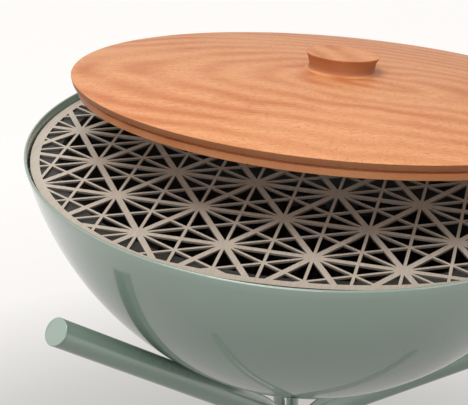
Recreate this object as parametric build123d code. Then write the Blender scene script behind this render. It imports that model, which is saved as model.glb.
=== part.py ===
from build123d import *
import os
from math import acos, atan2, cos, degrees, pi, radians, sin, sqrt, tan

# Round charcoal grill: a steel bowl nested in three bent tubes that are welded
# together at a waist, a flat star-pattern grate, and a turned wooden lid.
# Millimetres, +Z up. The floor is z = 0. While the pieces are built, the bowl's
# axis is x = y = 0; at the end all of them move so that the origin lies under
# the middle of the object's plan.

# Bowl
rim_radius = 300.0
bowl_depth = 254.5
bowl_wall = 3.0
rim_lean = 14.3
crown_radius = 264.0

# Stand tubes
tube_diameter = 29.0
tube_wall = 2.0
tube_slope = 34.8
tube_reach = 322.0
tube_bend_radius = 90.0
front_arm_azimuth = 232.5
leg_names = ("front_left", "right", "back")
weld_gap = 0.3
cradle_gap = 0.3

# Tube ends
cap_thickness = 3.0
cap_edge_round = 1.0
spigot_length = 14.0
spigot_clearance = 0.1
glide_thickness = 5.0
glide_plug_length = 26.0

# Weld beads at the waist
bead_radius = 3.0
bead_length = 26.0
bead_gap = 0.15
bead_end_round = 1.8

# Cooking grate
grate_drop = 7.0
grate_thickness = 2.0
grate_side_gap = 1.5
grate_ring_width = 9.6
grate_flat_azimuth = 277.0
grate_flat_depth = 10.0
grate_flat_radius = 395.0
star_spacing = 84.3
wide_bar = 6.2
narrow_bar = 3.0
smallest_hole_area = 12.0
outline_tolerance = 1e-4
seat_gap = 0.2

# Lifting bail on the grate
bail_rod = 6.0
bail_width = 70.0
bail_corner_radius = 12.0
bail_pin_length = 10.0
bail_axis_height = 5.0
bail_running_gap = 0.05
ear_thickness = 5.0
ear_depth = 12.0
ear_corner_radius = 5.4
ear_over_rod = 2.0
ear_side_gap = 0.5

# Fire pan
pan_sheet = 2.0
pan_side_gap = 1.5
pan_mouth_radius = 266.0
pan_floor_radius = 182.0
pan_depth = 140.0
pan_vent_radius = 7.0
pan_vent_circle = 130.0
pan_vent_count = 12
pan_vent_cut = 8.0

# Pan brackets on the bowl's inner wall
bracket_count = 6
bracket_width = 24.0
bracket_sheet = 3.0
bracket_shelf = 13.0
bracket_height = 26.0
bracket_first_azimuth = 22.5
wall_gap = 0.3

# Charcoal grate
coal_side_gap = 10.0
coal_grate_thickness = 6.0
coal_ring_width = 10.0
coal_bar = 6.0
coal_bar_pitch = 22.0
coal_leg_radius = 4.5
coal_leg_height = 26.0
coal_leg_count = 4

# Lid: domed upper board, recessed core, lower board, turned knob
lid_radius = 290.0
lid_band = 6.3
lid_band_undercut = 2.0
lid_dome = 20.6
lid_core_height = 4.2
lid_core_inset = 15.0
lower_board_thickness = 6.8
lower_board_inset = 8.0
lid_pocket_radius = 62.0
lid_tilt = 8.0
lid_shift_x = 16.0
lid_shift_y = 75.0
lid_rest_gap = 0.3

# Knob
knob_top_radius = 40.0
knob_waist_radius = 35.5
knob_side_middle_radius = 36.9
knob_height = 18.5
knob_cove = 4.5
knob_dish = 0.8
knob_seat_margin = 3.0
tenon_radius = 11.0
tenon_length = 14.0
tenon_clearance = 0.1

# Lid fasteners
lid_screw_count = 8
lid_screw_inset = 35.0
screw_shank_radius = 2.0
screw_head_radius = 4.0
screw_head_height = 2.4
screw_bite = 6.0
screw_clearance = 0.05
knob_screw_shank_radius = 3.0
knob_screw_head_radius = 6.0
knob_screw_head_height = 3.5
knob_screw_bite = 22.0
washer_radius = 14.0
washer_thickness = 1.6


def polar(radius, azimuth):
    """A point in plan, from its radius and its azimuth in degrees."""
    return (radius * cos(radians(azimuth)), radius * sin(radians(azimuth)))


def revolved(*edges):
    """A solid of revolution about Z from the closed outline in the XZ plane."""
    return revolve(make_face(edges), axis=Axis.Z)


def rod(start, end, radius):
    """A solid round bar between two points."""
    way = Vector(end) - Vector(start)
    return extrude(Plane(origin=start, z_dir=way) * Circle(radius), amount=way.length)


# Bowl profile. Depths are measured down from the rim's top. The crown arc is
# centred on the axis, and the side arc runs from the rim until it is tangent to it.
lean = radians(90 - rim_lean)
crown_centre_up = crown_radius - bowl_depth
side_radius = (rim_radius**2 + crown_centre_up**2 - crown_radius**2) / (
    2 * (rim_radius * sin(lean) + crown_centre_up * cos(lean) - crown_radius))
side_centre_r = rim_radius - side_radius * sin(lean)
side_centre_up = side_radius * cos(lean)
join_angle = atan2(side_centre_up - crown_centre_up, -side_centre_r)

# Tube stand, in the vertical plane of one tube. Each leg mirrors its arm.
tube_radius = tube_diameter / 2
tube_bore_radius = tube_radius - tube_wall
waist_radius = (tube_diameter + weld_gap) / sqrt(3)
slope_angle = radians(tube_slope)
tangent_r = waist_radius + tube_bend_radius * (1 - sin(slope_angle))
tangent_rise = tube_bend_radius * cos(slope_angle)
tube_rise = (tube_reach - tangent_r) * tan(slope_angle) + tangent_rise
waist_z = glide_thickness + tube_rise
arm_tip_z = waist_z + tube_rise
arm_line_on_axis_z = waist_z + tangent_rise - tangent_r * tan(slope_angle)

# The bowl touches the arms where its wall has their slope, on the side arc or
# on the crown: this sets the rim's height.
if pi / 2 - slope_angle < join_angle:
    touch_centre_r, touch_centre_up, touch_radius = side_centre_r, side_centre_up, side_radius
else:
    touch_centre_r, touch_centre_up, touch_radius = 0.0, crown_centre_up, crown_radius
touch_distance = touch_radius + tube_radius + cradle_gap
touch_centre_z = arm_line_on_axis_z + touch_centre_r * tan(slope_angle) + touch_distance / cos(slope_angle)
rim_z = touch_centre_z - touch_centre_up


def inner_wall_radius(depth):
    """Radius of the bowl's inner face at a depth under the rim."""
    return side_centre_r + sqrt((side_radius - bowl_wall) ** 2 - (side_centre_up + depth) ** 2)


def bowl_shell():
    """The painted steel bowl, two tangent arcs thick, with a full-round lip."""
    side_centre = Vector(side_centre_r, 0, side_centre_up)
    crown_centre = Vector(0, 0, crown_centre_up)
    lip_up = side_centre_up + bowl_wall / 2
    lip_out = sqrt((side_radius - bowl_wall / 2) ** 2 - lip_up**2)
    to_lip = Vector(lip_out, 0, -lip_up).normalized()
    to_join = (crown_centre - side_centre).normalized()
    to_side = (to_lip + to_join).normalized()
    to_crown = (to_join + Vector(0, 0, -1)).normalized()
    down = Vector(0, 0, -1)

    def points(inset):
        side = side_radius - inset
        crown = crown_radius - inset
        return (side_centre + to_lip * side, side_centre + to_side * side, side_centre + to_join * side,
                crown_centre + to_crown * crown, crown_centre + down * crown)

    outer = points(0)
    inner = points(bowl_wall)
    lip_middle = side_centre + to_lip * (side_radius - bowl_wall / 2)
    lip_top = lip_middle + Vector(-to_lip.Z, 0, to_lip.X) * (bowl_wall / 2)
    return revolved(
        ThreePointArc(outer[0], outer[1], outer[2]),
        ThreePointArc(outer[2], outer[3], outer[4]),
        Line(outer[4], inner[4]),
        ThreePointArc(inner[4], inner[3], inner[2]),
        ThreePointArc(inner[2], inner[1], inner[0]),
        ThreePointArc(inner[0], lip_top, outer[0]),
    )


def strip_back_radius(depth):
    """Where the flat back of a bracket stands, so that its two edges clear the round wall."""
    return sqrt((inner_wall_radius(depth) - wall_gap) ** 2 - (bracket_width / 2) ** 2)


def pan_bracket(azimuth):
    """A bent strip against the bowl's inner wall, with a level shelf for the pan."""
    shelf_depth = grate_drop + grate_thickness + pan_sheet + 2 * seat_gap
    foot_depth = shelf_depth + bracket_height
    top = Vector(strip_back_radius(shelf_depth), 0, -shelf_depth)
    foot = Vector(strip_back_radius(foot_depth), 0, -foot_depth)
    run = (foot - top).normalized()
    into = Vector(run.Z, 0, -run.X) * bracket_sheet
    shelf_end = top.X - bracket_shelf
    under = -shelf_depth - bracket_sheet
    inner_top = top + into + run * ((under - (top + into).Z) / run.Z)
    outline = Polyline(top, foot, foot + into, inner_top, (shelf_end, 0, under), (shelf_end, 0, -shelf_depth),
                       close=True)
    strip = extrude(make_face(outline), amount=bracket_width / 2, both=True)
    return Rot(0, 0, azimuth) * strip


arm_way = Vector(cos(slope_angle), 0, sin(slope_angle))
leg_way = Vector(cos(slope_angle), 0, -sin(slope_angle))


def tube_path():
    """Centre line of one tube in the XZ plane: arm, waist bend and leg."""
    arm_tip = Vector(tube_reach, 0, arm_tip_z) - arm_way * cap_thickness
    foot_end = Vector(tube_reach, 0, glide_thickness) + leg_way * tube_diameter
    arm_start = Vector(tangent_r, 0, waist_z + tangent_rise)
    leg_start = Vector(tangent_r, 0, waist_z - tangent_rise)
    waist = Vector(waist_radius, 0, waist_z)
    return Line(arm_tip, arm_start) + ThreePointArc(arm_start, waist, leg_start) + Line(leg_start, foot_end)


def bent_tube():
    """One stand tube, square at the arm's tip and cut level at the floor end."""
    path = tube_path()
    section = Plane(origin=path @ 0, z_dir=path % 0) * (Circle(tube_radius) - Circle(tube_bore_radius))
    tube = sweep(section, path=path)
    return split(tube, Plane(origin=(0, 0, glide_thickness), z_dir=(0, 0, 1)), keep=Keep.TOP)


def arm_cap():
    """A round cap with a spigot that closes the arm's tip."""
    seat = Vector(tube_reach, 0, arm_tip_z) - arm_way * cap_thickness
    disc = Cylinder(tube_radius, cap_thickness, align=(Align.CENTER, Align.CENTER, Align.MIN))
    disc = fillet(disc.edges().group_by(Axis.Z)[-1], cap_edge_round)
    spigot = Cylinder(tube_bore_radius - spigot_clearance, spigot_length,
                      align=(Align.CENTER, Align.CENTER, Align.MAX))
    return Plane(origin=seat, z_dir=arm_way) * (disc + spigot)


def foot_glide():
    """A moulded glide: a pad the shape of the cut tube, with a plug inside the bore."""
    foot = Vector(tube_reach, 0, glide_thickness)
    pad = rod(foot - leg_way * tube_diameter, foot + leg_way * tube_diameter, tube_radius)
    pad = split(pad, Plane(origin=(0, 0, glide_thickness)), keep=Keep.BOTTOM)
    pad = split(pad, Plane(origin=(0, 0, 0)), keep=Keep.TOP)
    plug = rod(foot - leg_way * glide_plug_length, foot + leg_way * glide_thickness,
               tube_bore_radius - spigot_clearance)
    plug = split(plug, Plane(origin=(0, 0, glide_thickness / 2)), keep=Keep.TOP)
    return pad + plug


def waist_welds():
    """Three short beads in the grooves between neighbouring tubes."""
    reach = tube_radius + bead_radius + bead_gap
    half_gap = (tube_diameter + weld_gap) / 2
    outward = waist_radius / 2 + sqrt(reach**2 - half_gap**2)
    beads = []
    for index in range(3):
        x, y = polar(outward, front_arm_azimuth + 60 + 120 * index)
        bead = Cylinder(bead_radius, bead_length)
        bead = fillet(bead.edges(), bead_end_round)
        beads.append(Pos(x, y, waist_z) * bead)
    return Compound(beads)


def inset_triangle(corners, insets):
    """Corners of a triangle whose edges have each moved inwards by their inset."""
    middle = (corners[0] + corners[1] + corners[2]) / 3
    lines = []
    for index in range(3):
        start = corners[index]
        along = (corners[(index + 1) % 3] - start).normalized()
        normal = Vector(-along.Y, along.X)
        if normal.dot(middle - start) < 0:
            normal = -normal
        lines.append((start + normal * insets[index], along))
    moved = []
    for index in range(3):
        first, way = lines[index - 1]
        second, other = lines[index]
        across = second - first
        step = (across.X * other.Y - across.Y * other.X) / (way.X * other.Y - way.Y * other.X)
        moved.append(first + way * step)
    return moved


def clipped_to_circle(corners, centre, radius):
    """The straight runs of a small polygon that lie inside a circle."""
    runs = []
    for index, corner in enumerate(corners):
        start = corner - centre
        way = corners[(index + 1) % len(corners)] - corner
        square = way.dot(way)
        half = start.dot(way) / square
        root = half**2 - (start.dot(start) - radius**2) / square
        if root <= 0:
            continue
        enter = max(0.0, -half - sqrt(root))
        leave = min(1.0, -half + sqrt(root))
        if leave - enter > outline_tolerance:
            runs.append((corner + way * enter, corner + way * leave))
    return runs


def hole_wire(corners, centre, radius):
    """Outline of one opening, closed along the grate's ring where it is clipped."""
    runs = clipped_to_circle(corners, centre, radius)
    if len(runs) < 2:
        return None
    edges = []
    for index, (start, end) in enumerate(runs):
        edges.append(Edge.make_line(start, end))
        following = runs[(index + 1) % len(runs)][0]
        if (following - end).length > outline_tolerance:
            on_arc = centre + (end + following - centre * 2).normalized() * radius
            edges.append(Edge.make_three_point_arc(end, on_arc, following))
    wire = Wire(edges)
    if Face(wire).area < smallest_hole_area:
        return None
    return wire


# Cooking grate outline. A flatter arc cuts across the circle at the front, which
# leaves room for a finger between the grate and the bowl.
grate_radius = inner_wall_radius(grate_drop + grate_thickness) - grate_side_gap
flat_offset = grate_flat_radius - grate_radius + grate_flat_depth
flat_centre = Vector(*polar(-flat_offset, grate_flat_azimuth))
flat_half_angle = degrees(acos((grate_flat_radius**2 - grate_radius**2 - flat_offset**2) / (
    2 * grate_radius * flat_offset)))


def on_flat(point):
    """Whether a point lies in the sector of the flatter arc."""
    turn = degrees(atan2(point.Y, point.X)) - grate_flat_azimuth
    return abs((turn + 180) % 360 - 180) < flat_half_angle


def star_holes():
    """Openings between wide bars, at 0, 60 and 120 degrees, and narrow ones midway."""
    inner_radius = grate_radius - grate_ring_width
    reach = int(inner_radius / star_spacing) + 2
    insets = (wide_bar / 2, narrow_bar / 2, narrow_bar / 2)
    wires = []
    for column in range(-2 * reach, 2 * reach + 1):
        for row in range(-reach, reach + 1):
            star = Vector((column + row / 2) * star_spacing, row * sqrt(3) / 2 * star_spacing)
            if star.length > inner_radius + star_spacing:
                continue
            for sector in range(6):
                centroid = star + Vector(*polar(star_spacing / sqrt(3), 60 * sector + 30))
                for side in (0, 60):
                    midpoint = star + Vector(*polar(star_spacing / 2, 60 * sector + side))
                    corners = inset_triangle((star, midpoint, centroid), insets)
                    if on_flat(centroid):
                        wire = hole_wire(corners, flat_centre, grate_flat_radius - grate_ring_width)
                    else:
                        wire = hole_wire(corners, Vector(0, 0), inner_radius)
                    if wire:
                        wires.append(wire)
    return wires


def cooking_grate():
    """A laser-cut round plate: an outer ring and the star pattern inside it."""
    first = polar(grate_radius, grate_flat_azimuth - flat_half_angle)
    last = polar(grate_radius, grate_flat_azimuth + flat_half_angle)
    flat_middle = polar(grate_radius - grate_flat_depth, grate_flat_azimuth)
    far_middle = polar(-grate_radius, grate_flat_azimuth)
    outline = Wire([Edge.make_three_point_arc(first, flat_middle, last),
                    Edge.make_three_point_arc(last, far_middle, first)])
    plate = Face(outline, star_holes())
    return Pos(0, 0, -grate_drop) * extrude(plate, amount=-grate_thickness, dir=(0, 0, 1))


# The lid's underside is a plane tilted about X. It passes just over the back of
# the lip and over the bail's crossbar, and that sets the lid's height.
tilt = radians(lid_tilt)
lid_normal = Vector(0, sin(tilt), cos(tilt))
lid_thickness = lid_band + lid_core_height + lower_board_thickness
lip_circle = Vector(0, rim_radius - bowl_wall / 2, -bowl_wall / 2)
underside_offset = lip_circle.dot(lid_normal) + bowl_wall / 2 + lid_rest_gap
lid_z = (underside_offset + lid_thickness - lid_shift_y * sin(tilt)) / cos(tilt)
lid_place = Pos(lid_shift_x, lid_shift_y, lid_z) * Rot(-lid_tilt, 0, 0)

bail_axis_z = bail_axis_height - grate_drop
bail_length = underside_offset - lid_rest_gap - bail_rod / 2 - bail_axis_z * cos(tilt)


def bail():
    """A bent round rod, leaning back square to the lid, with pins that turn in the ears."""
    half = bail_width / 2
    outline = FilletPolyline((-half, 0, 0), (-half, 0, bail_length), (half, 0, bail_length), (half, 0, 0),
                             radius=bail_corner_radius)
    loop = sweep(Plane(origin=outline @ 0, z_dir=outline % 0) * Circle(bail_rod / 2), path=outline)
    loop += rod((-half - bail_pin_length, 0, 0), (-half + bail_rod / 2, 0, 0), bail_rod / 2)
    loop += rod((half - bail_rod / 2, 0, 0), (half + bail_pin_length, 0, 0), bail_rod / 2)
    return Pos(0, 0, bail_axis_z) * Rot(-lid_tilt, 0, 0) * loop


def bail_ears():
    """Two lugs welded on the grate's middle bar, each with a hole for a bail pin."""
    height = bail_axis_height + bail_rod / 2 + ear_over_rod
    ears = []
    for side in (-1, 1):
        x = side * (bail_width / 2 + bail_rod / 2 + ear_side_gap + ear_thickness / 2)
        ear = Box(ear_thickness, ear_depth, height, align=(Align.CENTER, Align.CENTER, Align.MIN))
        top_edges = ear.edges().filter_by(Axis.X).group_by(Axis.Z)[-1]
        ear = fillet(top_edges, ear_corner_radius)
        hole = rod((-ear_thickness, 0, bail_axis_height), (ear_thickness, 0, bail_axis_height),
                   bail_rod / 2 + bail_running_gap)
        ears.append(Pos(x, 0, -grate_drop) * (ear - hole))
    return Compound(ears)


def fire_pan():
    """A sheet-steel pan with a flat flange, a sloping wall and air holes in its floor."""
    flange_top = -(grate_drop + grate_thickness + seat_gap)
    flange_under = flange_top - pan_sheet
    outer = inner_wall_radius(-flange_under) - pan_side_gap
    floor_z = flange_top - pan_depth
    pan = revolved(Polyline(
        (0, 0, floor_z), (pan_floor_radius, 0, floor_z), (pan_mouth_radius, 0, flange_under),
        (outer, 0, flange_under), (outer, 0, flange_top), (pan_mouth_radius - pan_sheet, 0, flange_top),
        (pan_floor_radius - pan_sheet, 0, floor_z + pan_sheet), (0, 0, floor_z + pan_sheet), close=True))
    for index in range(pan_vent_count):
        x, y = polar(pan_vent_circle, index * 360 / pan_vent_count)
        pan -= Pos(x, y, floor_z) * Cylinder(pan_vent_radius, pan_vent_cut)
    return pan


coal_floor_z = -(grate_drop + grate_thickness + seat_gap) - pan_depth + pan_sheet + seat_gap
coal_outer_radius = pan_floor_radius - coal_side_gap
coal_inner_radius = coal_outer_radius - coal_ring_width


def charcoal_grate():
    """A flat ring with parallel bars."""
    bars = Sketch() + Circle(coal_inner_radius)
    count = int(coal_inner_radius / coal_bar_pitch)
    for index in range(-count - 1, count + 1):
        slot_x = (index + 0.5) * coal_bar_pitch
        bars -= Pos(slot_x, 0) * Rectangle(coal_bar_pitch - coal_bar, 2 * coal_outer_radius)
    sketch = bars + (Circle(coal_outer_radius) - Circle(coal_inner_radius - coal_bar / 2))
    return Pos(0, 0, coal_floor_z + coal_leg_height) * extrude(sketch, amount=coal_grate_thickness)


def charcoal_grate_legs():
    """The short round legs welded under the charcoal grate's ring."""
    leg = Cylinder(coal_leg_radius, coal_leg_height, align=(Align.CENTER, Align.CENTER, Align.MIN))
    legs = []
    for index in range(coal_leg_count):
        x, y = polar(coal_inner_radius + coal_ring_width / 2, 45 + index * 360 / coal_leg_count)
        legs.append(Pos(x, y, coal_floor_z) * leg)
    return Compound(legs)


# Heights inside the lid, from the plane of its top edge
dome_radius = (lid_radius**2 + lid_dome**2) / (2 * lid_dome)
seat_radius = knob_waist_radius + knob_cove + knob_seat_margin
seat_z = lid_dome - dome_radius + sqrt(dome_radius**2 - seat_radius**2)
core_top = -lid_band
lower_top = core_top - lid_core_height
underside = -lid_thickness


def screw(shank, head, head_height, length, under, spread=0.0):
    """A countersunk screw pointing up, flush with the level where it enters."""
    return revolved(Polyline(
        (0, 0, under), (head + spread, 0, under), (shank + spread, 0, under + head_height),
        (shank + spread, 0, under + length), (0, 0, under + length + shank), close=True))


def lid_screw(spread=0.0):
    """One of the screws through the lower board and the core into the upper board."""
    length = lower_board_thickness + lid_core_height + screw_bite
    return screw(screw_shank_radius, screw_head_radius, screw_head_height, length, underside, spread)


def screw_ring(spread=0.0):
    """The screws, or their holes, that join the three layers of the lid."""
    one = lid_screw(spread)
    ring = []
    for index in range(lid_screw_count):
        x, y = polar(lid_radius - lid_screw_inset, (index + 0.5) * 360 / lid_screw_count)
        ring.append(Pos(x, y, 0) * one)
    return ring


def knob_screw(spread=0.0):
    """The screw that holds the knob's tenon, entered from the lid's pocket."""
    under = core_top - washer_thickness
    length = seat_z - tenon_length + knob_screw_bite - under
    return screw(knob_screw_shank_radius, knob_screw_head_radius, knob_screw_head_height, length, under, spread)


def upper_board():
    """The domed upper board with its bevelled edge band and the knob's socket."""
    mid_r = (lid_radius + seat_radius) / 2
    mid = (mid_r, 0, lid_dome - dome_radius + sqrt(dome_radius**2 - mid_r**2))
    board = revolved(
        Line((0, 0, core_top), (lid_radius - lid_band_undercut, 0, core_top)),
        Line((lid_radius - lid_band_undercut, 0, core_top), (lid_radius, 0, 0)),
        ThreePointArc((lid_radius, 0, 0), mid, (seat_radius, 0, seat_z)),
        Line((seat_radius, 0, seat_z), (0, 0, seat_z)),
        Line((0, 0, seat_z), (0, 0, core_top)),
    )
    socket = Cylinder(tenon_radius + tenon_clearance, tenon_length + tenon_clearance,
                      align=(Align.CENTER, Align.CENTER, Align.MAX))
    board -= Pos(0, 0, seat_z) * socket
    board -= knob_screw(screw_clearance)
    for hole in screw_ring(screw_clearance):
        board -= hole
    return board


def lid_core():
    """The thin ring between the boards, smaller than both, which leaves the groove."""
    ring = Cylinder(lid_radius - lid_core_inset, lid_core_height) - Cylinder(lid_pocket_radius, lid_core_height)
    ring = Pos(0, 0, (core_top + lower_top) / 2) * ring
    for hole in screw_ring(screw_clearance):
        ring -= hole
    return ring


def lower_board():
    """The flat lower board. Its round pocket clears the folded bail when the lid is shut."""
    outer = lid_radius - lower_board_inset
    board = Cylinder(outer, lower_board_thickness) - Cylinder(lid_pocket_radius, lower_board_thickness)
    board = Pos(0, 0, (lower_top + underside) / 2) * board
    for hole in screw_ring(screw_clearance):
        board -= hole
    return board


def knob():
    """The turned knob: a sharp dished top, a hollow side, a cove and a tenon."""
    top_z = seat_z + knob_height
    waist_z = seat_z + knob_cove
    tenon_z = seat_z - tenon_length
    foot_radius = knob_waist_radius + knob_cove
    side_mid = (knob_side_middle_radius, 0, (top_z + waist_z) / 2)
    cove_mid = (foot_radius - knob_cove * sin(pi / 4), 0, waist_z - knob_cove * sin(pi / 4))
    dish_radius = (knob_top_radius**2 + knob_dish**2) / (2 * knob_dish)
    half_radius = knob_top_radius / 2
    dish_mid_z = top_z - knob_dish + dish_radius - sqrt(dish_radius**2 - half_radius**2)
    body = revolved(
        Line((0, 0, tenon_z), (tenon_radius, 0, tenon_z)),
        Line((tenon_radius, 0, tenon_z), (tenon_radius, 0, seat_z)),
        Line((tenon_radius, 0, seat_z), (foot_radius, 0, seat_z)),
        ThreePointArc((foot_radius, 0, seat_z), cove_mid, (knob_waist_radius, 0, waist_z)),
        ThreePointArc((knob_waist_radius, 0, waist_z), side_mid, (knob_top_radius, 0, top_z)),
        ThreePointArc((knob_top_radius, 0, top_z), (half_radius, 0, dish_mid_z), (0, 0, top_z - knob_dish)),
        Line((0, 0, top_z - knob_dish), (0, 0, tenon_z)),
    )
    return body - knob_screw(screw_clearance)


def knob_washer():
    """The washer under the knob screw's head, against the upper board in the lid's pocket."""
    disc = Cylinder(washer_radius, washer_thickness, align=(Align.CENTER, Align.CENTER, Align.MAX))
    return Pos(0, 0, core_top) * disc - knob_screw(screw_clearance)


parts = {}

for index, name in enumerate(leg_names):
    turn = Rot(0, 0, front_arm_azimuth + 120 * index)
    parts["leg_tube_" + name] = turn * bent_tube()
    parts["arm_cap_" + name] = turn * arm_cap()
    parts["foot_glide_" + name] = turn * foot_glide()
parts["waist_welds"] = waist_welds()

at_rim = Pos(0, 0, rim_z)
parts["bowl_shell"] = at_rim * bowl_shell()
for index in range(bracket_count):
    azimuth = bracket_first_azimuth + index * 360 / bracket_count
    parts["pan_bracket_" + str(index + 1)] = at_rim * pan_bracket(azimuth)
parts["fire_pan"] = at_rim * fire_pan()
parts["charcoal_grate"] = at_rim * charcoal_grate()
parts["charcoal_grate_legs"] = at_rim * charcoal_grate_legs()
parts["cooking_grate"] = at_rim * cooking_grate()
parts["bail_ears"] = at_rim * bail_ears()
parts["lifting_bail"] = at_rim * bail()

at_lid = at_rim * lid_place
parts["lid_upper_board"] = at_lid * upper_board()
parts["lid_core"] = at_lid * lid_core()
parts["lid_lower_board"] = at_lid * lower_board()
parts["lid_screws"] = at_lid * Compound(screw_ring())
parts["lid_knob"] = at_lid * knob()
parts["knob_screw"] = at_lid * knob_screw()
parts["knob_washer"] = at_lid * knob_washer()

# The object's plan runs from the lip, arms and feet to the back of the lid.
# The origin goes under the middle of it.
boxes = [shape.bounding_box() for shape in parts.values()]
middle_x = (min(box.min.X for box in boxes) + max(box.max.X for box in boxes)) / 2
middle_y = (min(box.min.Y for box in boxes) + max(box.max.Y for box in boxes)) / 2
to_origin = Pos(-middle_x, -middle_y, 0)

os.makedirs("parts", exist_ok=True)
for name, shape in parts.items():
    export_step(to_origin * shape, "parts/" + name + ".step")

print("bowl axis at", round(-middle_x, 3), round(-middle_y, 3), "rim height", round(rim_z, 3))
print("waist height", round(waist_z, 3), "arm tip height", round(arm_tip_z, 3))
print("lid middle", round(lid_shift_x - middle_x, 3), round(lid_shift_y - middle_y, 3), round(rim_z + lid_z, 3))
print("bail axis height", round(rim_z + bail_axis_z, 3), "bail length", round(bail_length, 3))
print("side radius", round(side_radius, 3), "dome radius", round(dome_radius, 3))
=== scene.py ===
from math import atan2, cos, pi, radians, sin, sqrt

import bpy
from mathutils import Matrix, Vector


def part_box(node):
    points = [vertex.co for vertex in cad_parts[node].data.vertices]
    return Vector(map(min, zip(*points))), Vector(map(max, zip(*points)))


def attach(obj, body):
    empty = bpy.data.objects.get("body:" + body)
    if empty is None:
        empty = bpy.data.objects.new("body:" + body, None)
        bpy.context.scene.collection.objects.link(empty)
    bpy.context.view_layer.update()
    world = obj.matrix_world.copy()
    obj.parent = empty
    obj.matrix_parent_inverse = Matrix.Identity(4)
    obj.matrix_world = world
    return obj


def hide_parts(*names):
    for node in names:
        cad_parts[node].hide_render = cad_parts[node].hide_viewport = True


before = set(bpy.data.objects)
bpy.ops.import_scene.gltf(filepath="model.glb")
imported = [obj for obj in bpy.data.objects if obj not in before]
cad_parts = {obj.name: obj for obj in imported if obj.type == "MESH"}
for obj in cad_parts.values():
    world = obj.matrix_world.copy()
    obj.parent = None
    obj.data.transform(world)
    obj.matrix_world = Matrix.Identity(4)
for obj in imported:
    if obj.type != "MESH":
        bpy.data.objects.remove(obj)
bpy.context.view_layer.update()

bowlLow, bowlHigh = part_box("bowl_shell")
bowlAxis = Vector(((bowlLow.x + bowlHigh.x) / 2, (bowlLow.y + bowlHigh.y) / 2, 0))
rimHeight = bowlHigh.z
print("frame loaded, rim at", round(rimHeight, 4))


# small helpers for modelling

mergeWithin = 0.000005  # points closer than this become one


def clearSelection():
    active = bpy.context.view_layer.objects.active
    if active and active.mode != "OBJECT":
        bpy.ops.object.mode_set(mode="OBJECT")
    bpy.ops.object.select_all(action="DESELECT")


def pickOnly(piece):
    clearSelection()
    piece.select_set(True)
    bpy.context.view_layer.objects.active = piece


def finishPiece(piece, smoothAngle=30):
    # place goes into the mesh, so that patterns read it there
    pickOnly(piece)
    bpy.ops.object.transform_apply(location=True, rotation=True, scale=True)
    bpy.ops.object.shade_smooth_by_angle(angle=radians(smoothAngle))


def arcPoints(centre, radius, startAngle, endAngle, count):
    # angles in degrees, from the +radius direction towards +height
    points = []
    for step in range(count + 1):
        angle = radians(startAngle + (endAngle - startAngle) * step / count)
        points.append((centre[0] + radius * cos(angle), centre[1] + radius * sin(angle)))
    return points


def turnOnLathe(name, profile, steps):
    # a plane shrinks to one vertex, which is drawn along the profile, and the line is spun
    clearSelection()
    bpy.ops.mesh.primitive_plane_add(size=0.001, location=(0, 0, 0))
    piece = bpy.context.object
    piece.name = name
    bpy.ops.object.mode_set(mode="EDIT")
    bpy.ops.mesh.select_all(action="SELECT")
    bpy.ops.mesh.merge(type="CENTER")
    bpy.ops.transform.translate(value=(profile[0][0], 0, profile[0][1]))
    for start, end in zip(profile, profile[1:]):
        move = (end[0] - start[0], 0, end[1] - start[1])
        bpy.ops.mesh.extrude_vertices_move(TRANSFORM_OT_translate={"value": move})
    bpy.ops.mesh.select_all(action="SELECT")
    bpy.ops.mesh.spin(steps=steps, angle=2 * pi, center=(0, 0, 0), axis=(0, 0, 1))
    bpy.ops.mesh.select_all(action="SELECT")
    bpy.ops.mesh.remove_doubles(threshold=mergeWithin)
    bpy.ops.mesh.normals_make_consistent(inside=False)
    bpy.ops.object.mode_set(mode="OBJECT")
    return piece


def drawTube(name, start, heading, radius, sides, moves):
    # a ring is pulled along straight runs and spun round the bends
    clearSelection()
    turn = Vector((0, 0, 1)).rotation_difference(Vector(heading)).to_euler()
    bpy.ops.mesh.primitive_circle_add(vertices=sides, radius=radius, location=start, rotation=turn)
    piece = bpy.context.object
    piece.name = name
    bpy.ops.object.transform_apply(location=True, rotation=True, scale=True)
    bpy.ops.object.mode_set(mode="EDIT")
    bpy.ops.mesh.select_all(action="SELECT")
    for move in moves:
        if move[0] == "run":
            bpy.ops.mesh.extrude_edges_move(TRANSFORM_OT_translate={"value": move[1]})
        else:
            centre, axis, angle, steps = move[1:]
            bpy.ops.mesh.spin(steps=steps, angle=angle, center=centre, axis=axis)
    bpy.ops.mesh.select_all(action="SELECT")
    bpy.ops.mesh.remove_doubles(threshold=mergeWithin)
    bpy.ops.mesh.select_all(action="SELECT")
    bpy.ops.mesh.fill_holes(sides=0)
    bpy.ops.mesh.select_all(action="SELECT")
    bpy.ops.mesh.normals_make_consistent(inside=False)
    bpy.ops.object.mode_set(mode="OBJECT")
    return piece


# small helpers for materials

noiseSpread = (0.3, 0.7)  # where most values of a noise lie


def newMaterial(name):
    material = bpy.data.materials.new(name)
    material.use_nodes = True
    tree = material.node_tree
    return material, tree, tree.nodes["Principled BSDF"]


def addNode(tree, kind, values=None, links=None, **settings):
    node = tree.nodes.new("ShaderNode" + kind)
    for key, value in settings.items():
        setattr(node, key, value)
    for socket, value in (values or {}).items():
        node.inputs[socket].default_value = value
    for socket, source in (links or {}).items():
        tree.links.new(source, node.inputs[socket])
    return node


def addRamp(tree, source, stops):
    ramp = addNode(tree, "ValToRGB", links={"Fac": source})
    elements = ramp.color_ramp.elements
    while len(elements) < len(stops):
        elements.new(0.5)
    for element, (position, colour) in zip(elements, stops):
        element.position = position
        element.color = (*colour, 1)
    return ramp.outputs["Color"]


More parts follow.
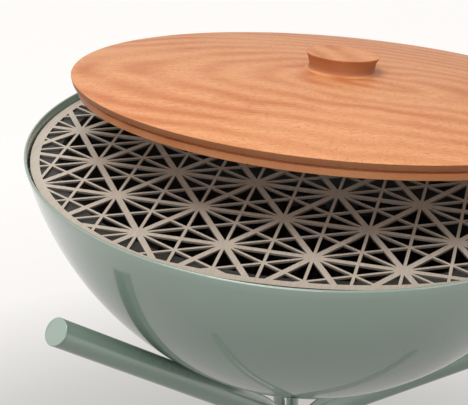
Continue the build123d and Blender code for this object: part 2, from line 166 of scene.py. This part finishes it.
def addMix(tree, share, first, second, blend="MIX"):
    # the colour mix node keeps its share in input 0 and its two colours in 6 and 7
    mix = addNode(tree, "Mix", data_type="RGBA", blend_type=blend)
    for socket, value in ((mix.inputs[0], share), (mix.inputs[6], first), (mix.inputs[7], second)):
        if isinstance(value, bpy.types.NodeSocket):
            tree.links.new(value, socket)
        else:
            socket.default_value = value if socket == mix.inputs[0] else (*value, 1)
    return mix.outputs[2]


def addRange(tree, source, fromLow, fromHigh, toLow, toHigh):
    values = {"From Min": fromLow, "From Max": fromHigh, "To Min": toLow, "To Max": toHigh}
    return addNode(tree, "MapRange", values, {"Value": source}).outputs["Result"]


def addNoise(tree, place, scale, detail, roughness=0.5, distortion=0.0, output="Fac"):
    values = {"Scale": scale, "Detail": detail, "Roughness": roughness, "Distortion": distortion}
    return addNode(tree, "TexNoise", values, {"Vector": place}).outputs[output]


def addLay(tree, place, shift=(0, 0, 0), turn=(0, 0, 0), scale=(1, 1, 1)):
    # how a pattern lies on a piece
    values = {"Location": shift, "Rotation": turn, "Scale": scale}
    return addNode(tree, "Mapping", values, {"Vector": place}).outputs["Vector"]


def addBump(tree, shader, height, strength, distance):
    bump = addNode(tree, "Bump", {"Strength": strength, "Distance": distance}, {"Height": height})
    tree.links.new(bump.outputs["Normal"], shader.inputs["Normal"])


def addEdgeColourAndShade(tree, shader, look, face, normal):
    # upright faces take the edge's colour, in its share, and flat ones keep the face's; this
    # darkening by how a face is turned is painted shade on the sides, besides any real edge colour
    up = addNode(tree, "SeparateXYZ", links={"Vector": normal}).outputs["Z"]
    flat = addNode(tree, "Math", links={0: up}, operation="ABSOLUTE").outputs["Value"]
    sideShade = addRange(tree, flat, *look["edgeRange"], look["edgeShadeShare"], 0)
    tree.links.new(addMix(tree, sideShade, face, look["edge"]), shader.inputs["Base Color"])


def addSeenRays(tree):
    # 1 for what the camera and glossy surfaces see, 0 for light on the object
    path = addNode(tree, "LightPath")
    rays = {0: path.outputs["Is Camera Ray"], 1: path.outputs["Is Glossy Ray"]}
    return addNode(tree, "Math", links=rays, operation="MAXIMUM").outputs["Value"]


def giveMaterial(piece, material):
    piece.data.materials.clear()
    piece.data.materials.append(material)


# materials

paintLook = {
    "colour": (0.190, 0.262, 0.213),
    "mottle": (0.204, 0.276, 0.226),
    "roughness": (0.26, 0.34),
    "coat": 1.0,
    "coatIor": 1.62,
    "coatRoughness": 0.035,
    "cloudScale": 7.0,
    "cloudRange": (0.35, 0.65),
    "peelScale": 420.0,
    "peelStrength": 0.25,
    "peelDepth": 0.00002,
}


def paintMaterial(name, look):
    material, tree, shader = newMaterial(name)
    place = addNode(tree, "TexCoord").outputs["Object"]
    cloud = addNoise(tree, place, look["cloudScale"], detail=4.0)
    peel = addNoise(tree, place, look["peelScale"], detail=2.0)
    mottled = addMix(tree, addRange(tree, cloud, *look["cloudRange"], 0, 1), look["colour"],
                     look["mottle"])
    tree.links.new(mottled, shader.inputs["Base Color"])
    gloss = addRange(tree, cloud, *noiseSpread, *look["roughness"])
    tree.links.new(gloss, shader.inputs["Roughness"])
    shader.inputs["Coat Weight"].default_value = look["coat"]
    shader.inputs["Coat IOR"].default_value = look["coatIor"]
    shader.inputs["Coat Roughness"].default_value = look["coatRoughness"]
    addBump(tree, shader, peel, look["peelStrength"], look["peelDepth"])
    return material


steelLook = {
    "light": (0.66, 0.595, 0.51),
    "dark": (0.49, 0.435, 0.365),
    # the grate's upright cut sides are coloured near black as painted shade
    "edge": (0.085, 0.066, 0.052),
    "metallic": 0.35,
    "roughness": (0.42, 0.58),
    "brushTurn": (0, 0, radians(28)),
    "brushScale": (1500.0, 26.0, 26.0),
    "brushStrength": 0.2,
    "brushDepth": 0.00002,
    "scratchScale": (3200.0, 60.0, 60.0),
    "cloudScale": 16.0,
    "cloudRange": (0.35, 0.7),
    "cloudShare": 0.35,
    "edgeRange": (0.55, 0.85),
    "edgeShadeShare": 0.85,
}


def steelMaterial(name, look):
    material, tree, shader = newMaterial(name)
    coords = addNode(tree, "TexCoord")
    place = coords.outputs["Object"]
    brushLay = addLay(tree, place, turn=look["brushTurn"], scale=look["brushScale"])
    scratchLay = addLay(tree, place, turn=look["brushTurn"], scale=look["scratchScale"])
    brush = addNoise(tree, brushLay, scale=1.0, detail=3.0)
    scratch = addNoise(tree, scratchLay, scale=1.0, detail=2.0)
    cloud = addNoise(tree, place, look["cloudScale"], detail=3.0)
    grainy = addMix(tree, addRange(tree, brush, *noiseSpread, 0, 1), look["dark"], look["light"])
    clouding = addRange(tree, cloud, *look["cloudRange"], 0, look["cloudShare"])
    cloudy = addMix(tree, clouding, grainy, look["dark"])
    addEdgeColourAndShade(tree, shader, look, cloudy, coords.outputs["Normal"])
    gloss = addRange(tree, scratch, *noiseSpread, *look["roughness"])
    tree.links.new(gloss, shader.inputs["Roughness"])
    shader.inputs["Metallic"].default_value = look["metallic"]
    addBump(tree, shader, brush, look["brushStrength"], look["brushDepth"])
    return material


woodLook = {
    "light": (0.78, 0.365, 0.168),
    "middle": (0.70, 0.275, 0.108),
    "deep": (0.56, 0.185, 0.062),
    # the edge colour is partly end grain and partly painted shade on the turned sides
    "edge": (0.17, 0.058, 0.020),
    "edgeRange": (0.45, 0.9),
    "edgeShadeShare": 0.85,
    "pore": (0.27, 0.090, 0.036),
    "poreScale": (150.0, 1500.0, 1500.0),
    "poreRange": (0.57, 0.68),
    "poreShare": 0.65,
    "poreDepth": -0.6,
    "fibreScale": (9.0, 420.0, 420.0),
    "fibreRange": (0.38, 0.66),
    "fibreShare": 0.5,
    "cloudStretch": (2.2, 7.0, 7.0),
    "cloudScale": 1.6,
    "cloudRange": (0.38, 0.62),
    "cloudShare": 0.6,
    "logTurn": (0, radians(-30), radians(6)),
    "logDepth": (0, 0.045, -0.03),
    "ringScale": 11.0,
    "ringMiddle": 0.55,
    "ringShare": 0.13,
    "ringDistortion": 2.2,
    "ringDetail": {"Detail": 2.0, "Detail Scale": 0.6, "Detail Roughness": 0.5},
    "wanderScale": 3.2,
    "wander": (0.0, 0.14, 0.14),
    "roughness": (0.48, 0.60),
    "specular": 0.3,
    "reliefStrength": 0.22,
    "reliefDepth": 0.0002,
}


def woodMaterial(name, centre, turn, **changes):
    look = {**woodLook, **changes}
    material, tree, shader = newMaterial(name)
    coords = addNode(tree, "TexCoord")
    board = addNode(tree, "Mapping", {"Location": centre, "Rotation": turn},
                    {"Vector": coords.outputs["Object"]}, vector_type="TEXTURE").outputs["Vector"]
    # slow wander of the grain
    wander = addNoise(tree, board, look["wanderScale"], detail=3.0, roughness=0.45, output="Color")
    centred = addNode(tree, "VectorMath", {1: (0.5, 0.5, 0.5)}, {0: wander},
                      operation="SUBTRACT").outputs["Vector"]
    pushed = addNode(tree, "VectorMath", {1: look["wander"]}, {0: centred},
                     operation="MULTIPLY").outputs["Vector"]
    grain = addNode(tree, "VectorMath", links={0: board, 1: pushed},
                    operation="ADD").outputs["Vector"]
    # growth rings of a log that lies a little askew under the board
    log = addLay(tree, grain, shift=look["logDepth"], turn=look["logTurn"])
    wave = {"Scale": look["ringScale"], "Distortion": look["ringDistortion"], **look["ringDetail"]}
    rings = addNode(tree, "TexWave", wave, {"Vector": log}, wave_type="RINGS",
                    rings_direction="X").outputs["Fac"]
    stops = [(0.0, look["light"]), (look["ringMiddle"], look["middle"]), (1.0, look["deep"])]
    soft = addMix(tree, look["ringShare"], addRamp(tree, rings, stops), look["middle"])
    # fibres, clouds and pores over the rings
    fibreLay = addLay(tree, grain, scale=look["fibreScale"])
    fibre = addNoise(tree, fibreLay, scale=1.0, detail=3.0, roughness=0.6)
    pore = addNoise(tree, addLay(tree, grain, scale=look["poreScale"]), scale=1.0, detail=1.0)
    cloudLay = addLay(tree, board, scale=look["cloudStretch"])
    cloud = addNoise(tree, cloudLay, look["cloudScale"], detail=3.0, distortion=0.9)
    fibreShare = addRange(tree, fibre, *look["fibreRange"], 0, look["fibreShare"])
    fibred = addMix(tree, fibreShare, soft, look["deep"])
    cloudShare = addRange(tree, cloud, *look["cloudRange"], 0, look["cloudShare"])
    clouded = addMix(tree, cloudShare, fibred, look["light"])
    poreShare = addRange(tree, pore, *look["poreRange"], 0, look["poreShare"])
    pored = addMix(tree, poreShare, clouded, look["pore"])
    # the turned edge shows end grain, which takes the oil darker; the dark edge colour is also
    # painted shade on the upright sides
    lie = addNode(tree, "VectorRotate", {"Angle": -turn[0]}, {"Vector": coords.outputs["Normal"]},
                  rotation_type="X_AXIS").outputs["Vector"]
    addEdgeColourAndShade(tree, shader, look, pored, lie)
    gloss = addRange(tree, fibre, *noiseSpread, *look["roughness"])
    tree.links.new(gloss, shader.inputs["Roughness"])
    shader.inputs["Specular IOR Level"].default_value = look["specular"]
    # pores lie lower than the fibres
    relief = addNode(tree, "Math", {1: look["poreDepth"]}, {0: poreShare, 2: fibre},
                     operation="MULTIPLY_ADD").outputs["Value"]
    addBump(tree, shader, relief, look["reliefStrength"], look["reliefDepth"])
    return material


darkLook = {
    "pan": {"colour": (0.012, 0.013, 0.013), "worn": (0.030, 0.030, 0.028),
            "roughness": (0.38, 0.62), "metallic": 0.0},
    "coal": {"colour": (0.020, 0.018, 0.016), "worn": (0.075, 0.060, 0.050),
             "roughness": (0.55, 0.8), "metallic": 0.6},
    "plastic": {"colour": (0.022, 0.023, 0.024), "worn": (0.040, 0.041, 0.042),
                "roughness": (0.45, 0.6), "metallic": 0.0},
    "cloudScale": 22.0,
    "cloudRange": (0.4, 0.72),
    "speckScale": 900.0,
    "speckStrength": 0.3,
    "speckDepth": 0.0001,
}


def darkMaterial(name, kind):
    look = {**darkLook, **darkLook[kind]}
    material, tree, shader = newMaterial(name)
    place = addNode(tree, "TexCoord").outputs["Object"]
    cloud = addNoise(tree, place, look["cloudScale"], detail=5.0, roughness=0.65)
    speck = addNoise(tree, place, look["speckScale"], detail=2.0)
    worn = addMix(tree, addRange(tree, cloud, *look["cloudRange"], 0, 1), look["colour"],
                  look["worn"])
    tree.links.new(worn, shader.inputs["Base Color"])
    gloss = addRange(tree, cloud, *noiseSpread, *look["roughness"])
    tree.links.new(gloss, shader.inputs["Roughness"])
    shader.inputs["Metallic"].default_value = look["metallic"]
    addBump(tree, shader, speck, look["speckStrength"], look["speckDepth"])
    return material


brightLook = {
    **steelLook,
    "light": (0.66, 0.64, 0.61),
    "dark": (0.52, 0.50, 0.47),
    "edge": (0.60, 0.58, 0.55),
    "metallic": 1.0,
    "roughness": (0.22, 0.34),
}

paint = paintMaterial("sageEnamel", paintLook)
grateSteel = steelMaterial("brushedGrateSteel", steelLook)
brightSteel = steelMaterial("brightRodSteel", brightLook)
panBlack = darkMaterial("panEnamelBlack", "pan")
coalSteel = darkMaterial("scaledSteel", "coal")
glidePlastic = darkMaterial("glidePlastic", "plastic")
print("materials ready")


# bowl

bowlSizes = {
    "rimRadius": 0.300,
    "depth": 0.2545,
    "wall": 0.003,
    "rimLean": 14.3,
    "sideRadius": 0.351,
    "sideSteps": 30,
    "crownSteps": 16,
    "lipSteps": 8,
    "turns": 192,
    "smoothAngle": 40,
}


def bowlArcs():
    # a side arc from the rim, and a crown arc on the axis that is tangent to it
    s = bowlSizes
    lean = radians(90 - s["rimLean"])
    sideCentre = (s["rimRadius"] - s["sideRadius"] * sin(lean), s["sideRadius"] * cos(lean))
    drop = sideCentre[1] + s["depth"]
    squares = sideCentre[0] ** 2 + drop ** 2 - s["sideRadius"] ** 2
    crownRadius = squares / (2 * (drop - s["sideRadius"]))
    crownCentre = (0.0, crownRadius - s["depth"])
    join = atan2(crownCentre[1] - sideCentre[1], crownCentre[0] - sideCentre[0]) * 180 / pi
    middleRadius = s["sideRadius"] - s["wall"] / 2
    lipUp = sideCentre[1] + s["wall"] / 2
    lip = -atan2(lipUp, sqrt(middleRadius ** 2 - lipUp ** 2)) * 180 / pi
    return sideCentre, crownCentre, crownRadius, lip, join


def makeBowl():
    s = bowlSizes
    sideCentre, crownCentre, crownRadius, lip, join = bowlArcs()
    innerSide, innerCrown = s["sideRadius"] - s["wall"], crownRadius - s["wall"]
    profile = arcPoints(crownCentre, crownRadius, -90, join, s["crownSteps"])
    profile += arcPoints(sideCentre, s["sideRadius"], join, lip, s["sideSteps"])[1:]
    lipMiddle = arcPoints(sideCentre, s["sideRadius"] - s["wall"] / 2, lip, lip, 1)[0]
    profile += arcPoints(lipMiddle, s["wall"] / 2, lip, lip + 180, s["lipSteps"])[1:-1]
    profile += arcPoints(sideCentre, innerSide, lip, join, s["sideSteps"])
    profile += arcPoints(crownCentre, innerCrown, join, -90, s["crownSteps"])[1:]
    bowl = turnOnLathe("bowl", profile, s["turns"])
    bowl.location = (bowlAxis.x, bowlAxis.y, rimHeight)
    finishPiece(bowl, s["smoothAngle"])
    giveMaterial(bowl, paint)
    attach(bowl, "bowl")
    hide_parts("bowl_shell")


makeBowl()
print("bowl turned")


# stand: three bent tubes and their caps

standSizes = {
    "tubeRadius": 0.0145,
    "sides": 56,
    "slope": 34.8,
    "reach": 0.322,
    "bendRadius": 0.090,
    "bendSteps": 40,
    "weldGap": 0.0003,
    "footOverrun": 0.04,
    "capThickness": 0.003,
    "capRound": 0.0009,
    "capRoundSteps": 6,
    "capTurns": 64,
    "seam": 0.0004,
    "glide": 0.005,
    "firstAzimuth": 232.5,
    "smoothAngle": 35,
    "names": ("front_left", "right", "back"),
}


def standPlan():
    s = standSizes
    slope = radians(s["slope"])
    waist = (2 * s["tubeRadius"] + s["weldGap"]) / sqrt(3)
    tangentReach = waist + s["bendRadius"] * (1 - sin(slope))
    rise = (s["reach"] - tangentReach) * sin(slope) / cos(slope) + s["bendRadius"] * cos(slope)
    waistHeight = s["glide"] + rise
    tip = Vector((s["reach"], 0, waistHeight + rise))
    armWay = Vector((cos(slope), 0, sin(slope)))
    return slope, waist, tangentReach, waistHeight, armWay, tip - armWay * s["capThickness"]


slope, waist, tangentReach, waistHeight, armWay, capSeat = standPlan()


def makeTube(name, azimuth):
    s = standSizes
    tangent = Vector((tangentReach, 0, waistHeight + s["bendRadius"] * cos(slope)))
    bendCentre = (waist + s["bendRadius"], 0, waistHeight)
    legWay = Vector((cos(slope), 0, -sin(slope)))
    foot = Vector((s["reach"], 0, s["glide"])) + legWay * s["footOverrun"]
    legTangent = Vector((tangentReach, 0, waistHeight - s["bendRadius"] * cos(slope)))
    moves = [("run", tangent - capSeat),
             ("turn", bendCentre, (0, 1, 0), pi - 2 * slope, s["bendSteps"]),
             ("run", foot - legTangent)]
    tube = drawTube("tube_" + name, capSeat, armWay, s["tubeRadius"], s["sides"], moves)
    # the leg runs on past the floor end and is cut level there
    pickOnly(tube)
    bpy.ops.object.mode_set(mode="EDIT")
    bpy.ops.mesh.select_all(action="SELECT")
    bpy.ops.mesh.bisect(plane_co=(0, 0, s["glide"]), plane_no=(0, 0, 1), use_fill=True,
                        clear_inner=True)
    bpy.ops.object.mode_set(mode="OBJECT")
    tube.rotation_euler = (0, 0, radians(azimuth))
    tube.location = bowlAxis
    finishPiece(tube, s["smoothAngle"])
    giveMaterial(tube, paint)
    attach(tube, "stand")
    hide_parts("leg_tube_" + name)


def makeCap(name, azimuth):
    s = standSizes
    radius, corner, seam = s["tubeRadius"], s["capRound"], s["seam"]
    profile = [(0, 0.0), (radius - seam, 0.0), (radius - seam, seam / 2), (radius, seam)]
    roundCentre = (radius - corner, s["capThickness"] - corner)
    profile += arcPoints(roundCentre, corner, 0, 90, s["capRoundSteps"])
    profile += [(0, s["capThickness"])]
    cap = turnOnLathe("cap_" + name, profile, s["capTurns"])
    cap.rotation_euler = (0, pi / 2 - slope, 0)
    cap.location = capSeat
    finishPiece(cap)
    cap.rotation_euler = (0, 0, radians(azimuth))
    cap.location = bowlAxis
    finishPiece(cap, s["smoothAngle"])
    giveMaterial(cap, paint)
    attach(cap, "stand")
    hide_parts("arm_cap_" + name)


for index, name in enumerate(standSizes["names"]):
    azimuth = standSizes["firstAzimuth"] + 120 * index
    makeTube(name, azimuth)
    makeCap(name, azimuth)
print("stand bent")


# lid

lidSizes = {
    "radius": 0.290,
    "band": 0.0063,
    "undercut": 0.002,
    "dome": 0.0206,
    "core": 0.0042,
    "coreInset": 0.015,
    "lower": 0.0068,
    "lowerInset": 0.008,
    "pocket": 0.062,
    "tilt": 8.0,
    "edgeRound": 0.0007,
    "domeSteps": 28,
    "turns": 200,
    "smoothAngle": 40,
    "knobTop": 0.040,
    "knobWaist": 0.0355,
    "knobMiddle": 0.0369,
    "knobHeight": 0.0185,
    "knobCove": 0.0045,
    "knobDish": 0.0008,
    "knobCornerShare": 0.8,
    "knobCorner": ((0.2, 1.0), (0.35, 0.3), (1.0, 0.05)),
    "coveSteps": 8,
    "knobSideSteps": 12,
    "dishSteps": 8,
    "knobTurns": 96,
    "seatMargin": 0.003,
}
lidTilt = radians(lidSizes["tilt"])


def lidCentre():
    # middle of the top edge's plane, from the lower board's box, which the CAD tilts the same way
    s = lidSizes
    low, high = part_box("lid_lower_board")
    middle = (low + high) / 2
    normal = Vector((0, sin(lidTilt), cos(lidTilt)))
    return middle + normal * (s["band"] + s["core"] + s["lower"] / 2)


lidMiddle = lidCentre()
print("lid middle", [round(v, 5) for v in lidMiddle])


# edge colours: painted shade deepest on the inset core, which stands in the groove between the
# boards; on the lower board and knob the end grain is darkened by painted shade as well
boardLooks = {
    "topBoardWood": {"turn": 4},
    "coreWood": {"turn": 4, "edgeShadeShare": 0.9, "edge": (0.16, 0.05, 0.02)},
    "lowerBoardWood": {"turn": 4, "edgeShadeShare": 0.75, "edge": (0.36, 0.135, 0.048),
                       "logDepth": (0, 0.09, 0.1)},
    "knobWood": {"turn": -3, "edgeShadeShare": 0.85, "edge": (0.27, 0.090, 0.034),
                 "logDepth": (0, 0.05, 0.11)},
}


def boardMaterial(name):
    changes = dict(boardLooks[name])
    turn = (-lidTilt, 0, radians(changes.pop("turn")))
    return woodMaterial(name, tuple(lidMiddle), turn, **changes)


def softCorners(points, radius, steps=3, leastBend=25, room=2.2):
    # rounds each corner of a profile a little, as sanding does; the two ends stay,
    # and so do slight bends and corners with too little room beside them
    rounded = [points[0]]
    for before, corner, after in zip(points, points[1:], points[2:]):
        toBefore = Vector((before[0] - corner[0], before[1] - corner[1]))
        toAfter = Vector((after[0] - corner[0], after[1] - corner[1]))
        bend = pi - toBefore.angle(toAfter)
        if bend < radians(leastBend) or min(toBefore.length, toAfter.length) < room * radius:
            rounded.append(corner)
            continue
        start = Vector(corner) + toBefore.normalized() * radius
        end = Vector(corner) + toAfter.normalized() * radius
        for step in range(steps + 1):
            share = step / steps
            pull = Vector(corner) * 2 * share * (1 - share)
            point = start * (1 - share) ** 2 + pull + end * share ** 2
            rounded.append((point.x, point.y))
    return rounded + [points[-1]]


def placeOnLid(piece):
    piece.rotation_euler = (-lidTilt, 0, 0)
    piece.location = lidMiddle
    finishPiece(piece, lidSizes["smoothAngle"])


def makeLid():
    s = lidSizes
    domeRadius = (s["radius"] ** 2 + s["dome"] ** 2) / (2 * s["dome"])
    domeCentre = (0, s["dome"] - domeRadius)
    seatRadius = s["knobWaist"] + s["knobCove"] + s["seatMargin"]
    seatHeight = s["dome"] - domeRadius + sqrt(domeRadius ** 2 - seatRadius ** 2)
    rimAngle = atan2(-domeCentre[1], s["radius"]) * 180 / pi
    seatAngle = atan2(seatHeight - domeCentre[1], seatRadius) * 180 / pi
    top = arcPoints(domeCentre, domeRadius, rimAngle, seatAngle, s["domeSteps"])
    # only the outer corners are softened; the rest of the dome is an arc already
    edge = [(0, -s["band"]), (s["radius"] - s["undercut"], -s["band"]), top[0], top[1]]
    upper = softCorners(edge, s["edgeRound"]) + top[2:] + [(0, seatHeight)]
    upperBoard = turnOnLathe("lidUpperBoard", upper, s["turns"])
    coreTop, lowerTop = -s["band"], -s["band"] - s["core"]
    under = lowerTop - s["lower"]
    pocket, coreOuter = s["pocket"], s["radius"] - s["coreInset"]
    ring = [(pocket, lowerTop), (coreOuter, lowerTop), (coreOuter, coreTop), (pocket, coreTop),
            (pocket, lowerTop)]
    core = turnOnLathe("lidCore", ring, s["turns"])
    lowerOuter = s["radius"] - s["lowerInset"]
    middle = (pocket + lowerOuter) / 2
    ring = [(middle, under), (lowerOuter, under), (lowerOuter, lowerTop), (pocket, lowerTop),
            (pocket, under), (middle, under)]
    lowerBoard = turnOnLathe("lidLowerBoard", softCorners(ring, s["edgeRound"]), s["turns"])
    for piece, node, slot in ((upperBoard, "lid_upper_board", "wood_top"),
                              (core, "lid_core", "wood_core"),
                              (lowerBoard, "lid_lower_board", "wood_lower")):
        placeOnLid(piece)
        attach(piece, "lid")
        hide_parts(node)
    giveMaterial(upperBoard, boardMaterial("topBoardWood"))
    giveMaterial(core, boardMaterial("coreWood"))
    giveMaterial(lowerBoard, boardMaterial("lowerBoardWood"))
    return seatHeight


def makeKnob(seatHeight):
    s = lidSizes
    top, waistHeight = seatHeight + s["knobHeight"], seatHeight + s["knobCove"]
    foot = s["knobWaist"] + s["knobCove"]
    profile = [(0, seatHeight), (foot, seatHeight)]
    profile += arcPoints((foot, waistHeight), s["knobCove"], 270, 180, s["coveSteps"])[1:]
    # the side is a parabola through the waist, the middle and the top
    for step in range(1, s["knobSideSteps"]):
        share = step / s["knobSideSteps"]
        height = waistHeight + (top - waistHeight) * share
        a, b = (1 - share) * (1 - 2 * share), share * (2 * share - 1)
        radius = s["knobWaist"] * a + s["knobTop"] * b + s["knobMiddle"] * 4 * share * (1 - share)
        profile.append((radius, height))
    corner = s["edgeRound"] * s["knobCornerShare"]
    for inward, down in s["knobCorner"]:
        profile.append((s["knobTop"] - corner * inward, top - corner * down))
    for step in range(1, s["dishSteps"] + 1):
        share = 1 - step / s["dishSteps"]
        profile.append((s["knobTop"] * share, top - s["knobDish"] * (1 - share ** 2)))
    knob = turnOnLathe("knob", profile, s["knobTurns"])
    placeOnLid(knob)
    giveMaterial(knob, boardMaterial("knobWood"))
    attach(knob, "lid")
    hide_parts("lid_knob")


makeKnob(makeLid())
print("lid and knob turned")


# lifting bail

bailSizes = {
    "rod": 0.003,
    "sides": 28,
    "halfWidth": 0.035,
    "corner": 0.012,
    "lowCorner": 0.0045,
    "pin": 0.010,
    "axisOverGrate": 0.005,
    "length": 0.040538,
    "lowSteps": 10,
    "highSteps": 14,
    "cutShort": 0.00001,
    "mirrorMerge": 0.0001,
    "smoothAngle": 40,
}


def makeBail():
    s = bailSizes
    pinEnd = Vector((-s["halfWidth"] - s["pin"], 0, 0))
    lowBend = (-s["halfWidth"] - s["lowCorner"], 0, s["lowCorner"])
    highBend = (-s["halfWidth"] + s["corner"], 0, s["length"] - s["corner"])
    moves = [("run", (s["pin"] - s["lowCorner"], 0, 0)),
             ("turn", lowBend, (0, 1, 0), pi / 2, s["lowSteps"]),
             ("run", (0, 0, s["length"] - s["corner"] - s["lowCorner"])),
             ("turn", highBend, (0, 1, 0), -pi / 2, s["highSteps"]),
             ("run", (s["halfWidth"] - s["corner"], 0, 0))]
    bail = drawTube("bail", pinEnd, (1, 0, 0), s["rod"], s["sides"], moves)
    pickOnly(bail)
    # the inner end is opened again, and the other half is mirrored on
    bpy.ops.object.mode_set(mode="EDIT")
    bpy.ops.mesh.select_all(action="SELECT")
    bpy.ops.mesh.bisect(plane_co=(-s["cutShort"], 0, 0), plane_no=(1, 0, 0), clear_outer=True)
    bpy.ops.object.mode_set(mode="OBJECT")
    mirror = bail.modifiers.new("otherHalf", "MIRROR")
    mirror.merge_threshold = s["mirrorMerge"]
    bpy.ops.object.modifier_apply(modifier=mirror.name)
    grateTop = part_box("cooking_grate")[1].z
    bail.rotation_euler = (-lidTilt, 0, 0)
    bail.location = (bowlAxis.x, bowlAxis.y, grateTop + s["axisOverGrate"])
    finishPiece(bail, s["smoothAngle"])
    giveMaterial(bail, brightSteel)
    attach(bail, "bail")
    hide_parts("lifting_bail")


makeBail()
print("bail bent")


# CAD pieces that stay, with their finishes

keptNodes = {
    "cooking_grate": grateSteel,
    "bail_ears": grateSteel,
    "fire_pan": panBlack,
    "charcoal_grate": coalSteel,
    "charcoal_grate_legs": coalSteel,
    "lid_screws": brightSteel,
    "knob_screw": brightSteel,
    "knob_washer": brightSteel,
    "waist_welds": paint,
}
for number in range(1, 7):
    keptNodes["pan_bracket_" + str(number)] = paint
for name in standSizes["names"]:
    keptNodes["foot_glide_" + name] = glidePlastic
for node, material in keptNodes.items():
    giveMaterial(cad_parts[node], material)
print("kept pieces finished")


# floor, light and camera

studio = {
    "floorSize": 40.0,
    "paper": (1.0, 0.978, 0.955),
    # the paper darkens towards the floor's middle, where the grill stands: painted shade, a
    # made-up contact shadow
    "paintedShadeTones": [(0.0, 0.44), (0.14, 0.47), (0.23, 0.62), (0.34, 0.92), (0.52, 1.0), (1.0, 1.0)],
    "paintedShadeReach": 2.6,
    "lit": 0.17,
    "seen": 0.88,
    "floorRoughness": 0.8,
    "floorSpecular": 0.1,
    "worldColour": (1.0, 0.985, 0.97, 1),
    "world": 0.42,
    "worldSeen": 0.97,
}


def makeFloor():
    clearSelection()
    bpy.ops.mesh.primitive_plane_add(size=studio["floorSize"], location=(0, 0, 0))
    floor = bpy.context.object
    floor.name = "floor"
    material, tree, shader = newMaterial("paleFloor")
    place = addNode(tree, "TexCoord").outputs["Object"]
    # distance from the floor's middle picks the paper's tone, darker near the grill as painted
    # shade
    away = addNode(tree, "VectorMath", links={0: place}, operation="LENGTH").outputs["Value"]
    stops = [(position, tuple(channel * paperWithPaintedShade for channel in studio["paper"]))
             for position, paperWithPaintedShade in studio["paintedShadeTones"]]
    paperWithPaintedShade = addRamp(tree, addRange(tree, away, 0, studio["paintedShadeReach"], 0, 1), stops)
    lit = addMix(tree, 1.0, paperWithPaintedShade, (studio["lit"],) * 3, "MULTIPLY")
    tree.links.new(lit, shader.inputs["Base Color"])
    shader.inputs["Roughness"].default_value = studio["floorRoughness"]
    shader.inputs["Specular IOR Level"].default_value = studio["floorSpecular"]
    # the camera and glossy surfaces see the paper's tone, with its painted shade near the grill,
    # and the cast shadow stays
    tree.links.new(paperWithPaintedShade, shader.inputs["Emission Color"])
    glow = addRange(tree, addSeenRays(tree), 0, 1, 0, studio["seen"])
    tree.links.new(glow, shader.inputs["Emission Strength"])
    giveMaterial(floor, material)


def makeWorld():
    world = bpy.data.worlds.new("studioWorld")
    bpy.context.scene.world = world
    world.use_nodes = True
    tree = world.node_tree
    background = tree.nodes["Background"]
    background.inputs["Color"].default_value = studio["worldColour"]
    glow = addRange(tree, addSeenRays(tree), 0, 1, studio["world"], studio["worldSeen"])
    tree.links.new(glow, background.inputs["Strength"])


lamps = {
    "keyLamp": {"place": (-0.5, -0.7, 2.5), "aim": (0, 0, 0.6), "size": (1.3, 1.3),
                "power": 29.0, "colour": (1, 0.975, 0.94)},
    "fillLamp": {"place": (-2.0, -0.9, 1.3), "aim": (0, 0, 0.45), "size": (1.6, 1.6),
                 "power": 5.0},
    "frontLamp": {"place": (-0.2, -2.5, 1.35), "aim": (0, 0, 0.5), "size": (1.8, 1.0),
                  "power": 27.0},
    "sideLamp": {"place": (2.2, -1.3, 1.0), "aim": (-0.2, -0.1, 0.6), "size": (1.0, 1.0),
                 "power": 9.0},
}


def addLamp(name, place, aim, size, power, colour=(1, 1, 1)):
    lamp = bpy.data.lights.new(name, "AREA")
    lamp.shape = "RECTANGLE"
    lamp.size, lamp.size_y = size
    lamp.energy = power
    lamp.color = colour
    holder = bpy.data.objects.new(name, lamp)
    bpy.context.scene.collection.objects.link(holder)
    holder.location = place
    holder.rotation_euler = (Vector(aim) - Vector(place)).to_track_quat("-Z", "Y").to_euler()


cameraPlace = {
    "right": (0.97495, 0.2174, 0.04696),
    "up": (-0.13477, 0.40951, 0.90229),
    "back": (0.17692, -0.88602, 0.42856),
    "fromGrate": (0.2163, -1.4789, 0.6543),
    "lens": 118.495,
    "sensor": 36.0,
}


def makeCamera():
    c = cameraPlace
    data = bpy.data.cameras.new("camera")
    data.lens = c["lens"]
    data.sensor_width = c["sensor"]
    camera = bpy.data.objects.new("camera", data)
    bpy.context.scene.collection.objects.link(camera)
    grateTop = Vector((bowlAxis.x, bowlAxis.y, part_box("cooking_grate")[1].z))
    turn = Matrix((c["right"], c["up"], c["back"])).transposed().to_4x4()
    camera.matrix_world = Matrix.Translation(grateTop + Vector(c["fromGrate"])) @ turn
    bpy.context.scene.camera = camera


makeFloor()
makeWorld()
for name, lamp in lamps.items():
    addLamp(name, **lamp)
makeCamera()

bpy.context.scene.view_settings.view_transform = "Standard"
print("floor, light and camera set")
